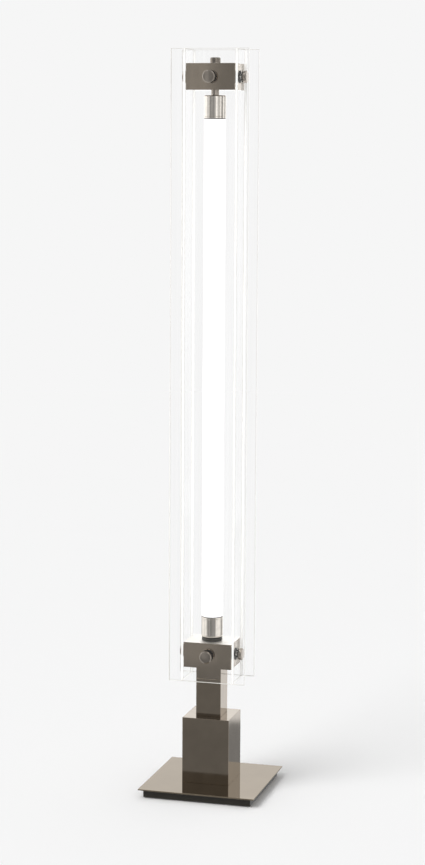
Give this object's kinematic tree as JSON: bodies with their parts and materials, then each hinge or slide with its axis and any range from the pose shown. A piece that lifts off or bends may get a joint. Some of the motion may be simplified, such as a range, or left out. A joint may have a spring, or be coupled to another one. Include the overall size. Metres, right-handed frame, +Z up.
{
  "type": "floor lamp",
  "caption": "Tall floor lamp: a lit opal tube between two square metal brackets, enclosed by clear glass plates, on a post, a block and a square base.",
  "frame": {"origin": "on the floor, under the axis of the light tube and the centre of the square base", "axes": "+Z up along the light tube, -Y the front (the pictured wide glass face), +X the lamp's right as seen from the front"},
  "size_m": [0.242, 0.242, 1.5],
  "materials": {
    "mirror_nickel": "mirror-polished warm nickel plate",
    "bronze_nickel": "polished dark warm nickel plate",
    "bright_nickel": "polished nickel plate",
    "dark_steel": "dark satin lacquer",
    "clear_glass": "clear float glass, ground edges",
    "opal_acrylic": "opal, lit from inside",
    "soft_rubber": "matt",
    "black_plastic": "moulded",
    "clear_nylon": "translucent",
    "zinc_steel": "zinc plated",
    "white_plastic": "moulded",
    "aluminium": "extruded",
    "strip_board": "white circuit board",
    "brass": "tinned spring brass"
  },
  "bodies": {
    "lamp_frame": {"base_top_sheet": "mirror_nickel", "block_shell": "bronze_nickel", "post": "bronze_nickel", "lower_bracket": "bronze_nickel", "upper_bracket": "bronze_nickel", "lower_socket": "bright_nickel", "plinth_weight": "dark_steel", "underside_cover": "dark_steel", "seat_ring": "dark_steel", "glass_front": "clear_glass", "glass_back": "clear_glass", "glass_left": "clear_glass", "glass_right": "clear_glass", "diffuser_tube": "opal_acrylic", "foot_pads": "soft_rubber", "glass_gaskets": "soft_rubber", "cord_gland": "black_plastic", "lower_tube_cap": "black_plastic", "upper_tube_cap": "black_plastic", "lower_holder": "black_plastic", "terminal_block": "black_plastic", "glass_bushes": "clear_nylon", "base_screws": "zinc_steel", "block_base_plate": "zinc_steel", "tie_rod": "zinc_steel", "rod_nuts": "zinc_steel", "rod_washers": "zinc_steel", "post_plugs": "zinc_steel", "driver_bracket": "zinc_steel", "driver_screws": "zinc_steel", "driver": "white_plastic", "light_lead": "white_plastic", "led_core": "aluminium", "led_strips": "strip_board", "holder_contacts": "brass", "contact_pins": "brass"},
    "upper_carriage": {"upper_socket": "bright_nickel", "spindle": "bronze_nickel"},
    "top_nut": {"top_nut": "bronze_nickel"},
    "washer_lower_front": {"washer_lower_front": "black_plastic"},
    "knob_lower_front": {"knob_lower_front": "bright_nickel"},
    "washer_lower_back": {"washer_lower_back": "black_plastic"},
    "knob_lower_back": {"knob_lower_back": "bright_nickel"},
    "washer_lower_left": {"washer_lower_left": "black_plastic"},
    "knob_lower_left": {"knob_lower_left": "bright_nickel"},
    "washer_lower_right": {"washer_lower_right": "black_plastic"},
    "knob_lower_right": {"knob_lower_right": "bright_nickel"},
    "washer_upper_front": {"washer_upper_front": "black_plastic"},
    "knob_upper_front": {"knob_upper_front": "bright_nickel"},
    "washer_upper_back": {"washer_upper_back": "black_plastic"},
    "knob_upper_back": {"knob_upper_back": "bright_nickel"},
    "washer_upper_left": {"washer_upper_left": "black_plastic"},
    "knob_upper_left": {"knob_upper_left": "bright_nickel"},
    "washer_upper_right": {"washer_upper_right": "black_plastic"},
    "knob_upper_right": {"knob_upper_right": "bright_nickel"}
  },
  "joints": [
    {"name": "top_nut_turn", "type": "hinge", "parent": "lamp_frame", "child": "top_nut", "pos_m": [0, 0, 1.4718], "axis": [0, 0, 1], "range_deg": [0, 1800.5]},
    {"name": "upper_socket_lift", "type": "slide", "parent": "lamp_frame", "child": "upper_carriage", "axis": [0, 0, 1], "range_m": [0, 0.0075]},
    {"name": "knob_lower_front_turn", "type": "hinge", "parent": "washer_lower_front", "child": "knob_lower_front", "pos_m": [0, -0.0418, 0.2845], "axis": [0, -1, 0], "range_deg": [0, 2160.5]},
    {"name": "knob_lower_front_out", "type": "slide", "parent": "lamp_frame", "child": "washer_lower_front", "axis": [0, -1, 0], "range_m": [0, 0.006]},
    {"name": "knob_lower_back_turn", "type": "hinge", "parent": "washer_lower_back", "child": "knob_lower_back", "pos_m": [0, 0.0418, 0.2845], "axis": [0, 1, 0], "range_deg": [0, 2160.5]},
    {"name": "knob_lower_back_out", "type": "slide", "parent": "lamp_frame", "child": "washer_lower_back", "axis": [0, 1, 0], "range_m": [0, 0.006]},
    {"name": "knob_lower_left_turn", "type": "hinge", "parent": "washer_lower_left", "child": "knob_lower_left", "pos_m": [-0.0558, 0, 0.2845], "axis": [-1, 0, 0], "range_deg": [0, 2160.5]},
    {"name": "knob_lower_left_out", "type": "slide", "parent": "lamp_frame", "child": "washer_lower_left", "axis": [-1, 0, 0], "range_m": [0, 0.006]},
    {"name": "knob_lower_right_turn", "type": "hinge", "parent": "washer_lower_right", "child": "knob_lower_right", "pos_m": [0.0558, 0, 0.2845], "axis": [1, 0, 0], "range_deg": [0, 2160.5]},
    {"name": "knob_lower_right_out", "type": "slide", "parent": "lamp_frame", "child": "washer_lower_right", "axis": [1, 0, 0], "range_m": [0, 0.006]},
    {"name": "knob_upper_front_turn", "type": "hinge", "parent": "washer_upper_front", "child": "knob_upper_front", "pos_m": [0, -0.0418, 1.4455], "axis": [0, -1, 0], "range_deg": [0, 2160.5]},
    {"name": "knob_upper_front_out", "type": "slide", "parent": "lamp_frame", "child": "washer_upper_front", "axis": [0, -1, 0], "range_m": [0, 0.006]},
    {"name": "knob_upper_back_turn", "type": "hinge", "parent": "washer_upper_back", "child": "knob_upper_back", "pos_m": [0, 0.0418, 1.4455], "axis": [0, 1, 0], "range_deg": [0, 2160.5]},
    {"name": "knob_upper_back_out", "type": "slide", "parent": "lamp_frame", "child": "washer_upper_back", "axis": [0, 1, 0], "range_m": [0, 0.006]},
    {"name": "knob_upper_left_turn", "type": "hinge", "parent": "washer_upper_left", "child": "knob_upper_left", "pos_m": [-0.0558, 0, 1.4455], "axis": [-1, 0, 0], "range_deg": [0, 2160.5]},
    {"name": "knob_upper_left_out", "type": "slide", "parent": "lamp_frame", "child": "washer_upper_left", "axis": [-1, 0, 0], "range_m": [0, 0.006]},
    {"name": "knob_upper_right_turn", "type": "hinge", "parent": "washer_upper_right", "child": "knob_upper_right", "pos_m": [0.0558, 0, 1.4455], "axis": [1, 0, 0], "range_deg": [0, 2160.5]},
    {"name": "knob_upper_right_out", "type": "slide", "parent": "lamp_frame", "child": "washer_upper_right", "axis": [1, 0, 0], "range_m": [0, 0.006]}
  ],
  "couplings": [
    {"joint": "top_nut_turn", "follows": "upper_socket_lift", "rad_per_m": 4188.8},
    {"joint": "knob_lower_front_turn", "follows": "knob_lower_front_out", "rad_per_m": 6283.2},
    {"joint": "knob_lower_back_turn", "follows": "knob_lower_back_out", "rad_per_m": 6283.2},
    {"joint": "knob_lower_left_turn", "follows": "knob_lower_left_out", "rad_per_m": 6283.2},
    {"joint": "knob_lower_right_turn", "follows": "knob_lower_right_out", "rad_per_m": 6283.2},
    {"joint": "knob_upper_front_turn", "follows": "knob_upper_front_out", "rad_per_m": 6283.2},
    {"joint": "knob_upper_back_turn", "follows": "knob_upper_back_out", "rad_per_m": 6283.2},
    {"joint": "knob_upper_left_turn", "follows": "knob_upper_left_out", "rad_per_m": 6283.2},
    {"joint": "knob_upper_right_turn", "follows": "knob_upper_right_out", "rad_per_m": 6283.2}
  ]
}
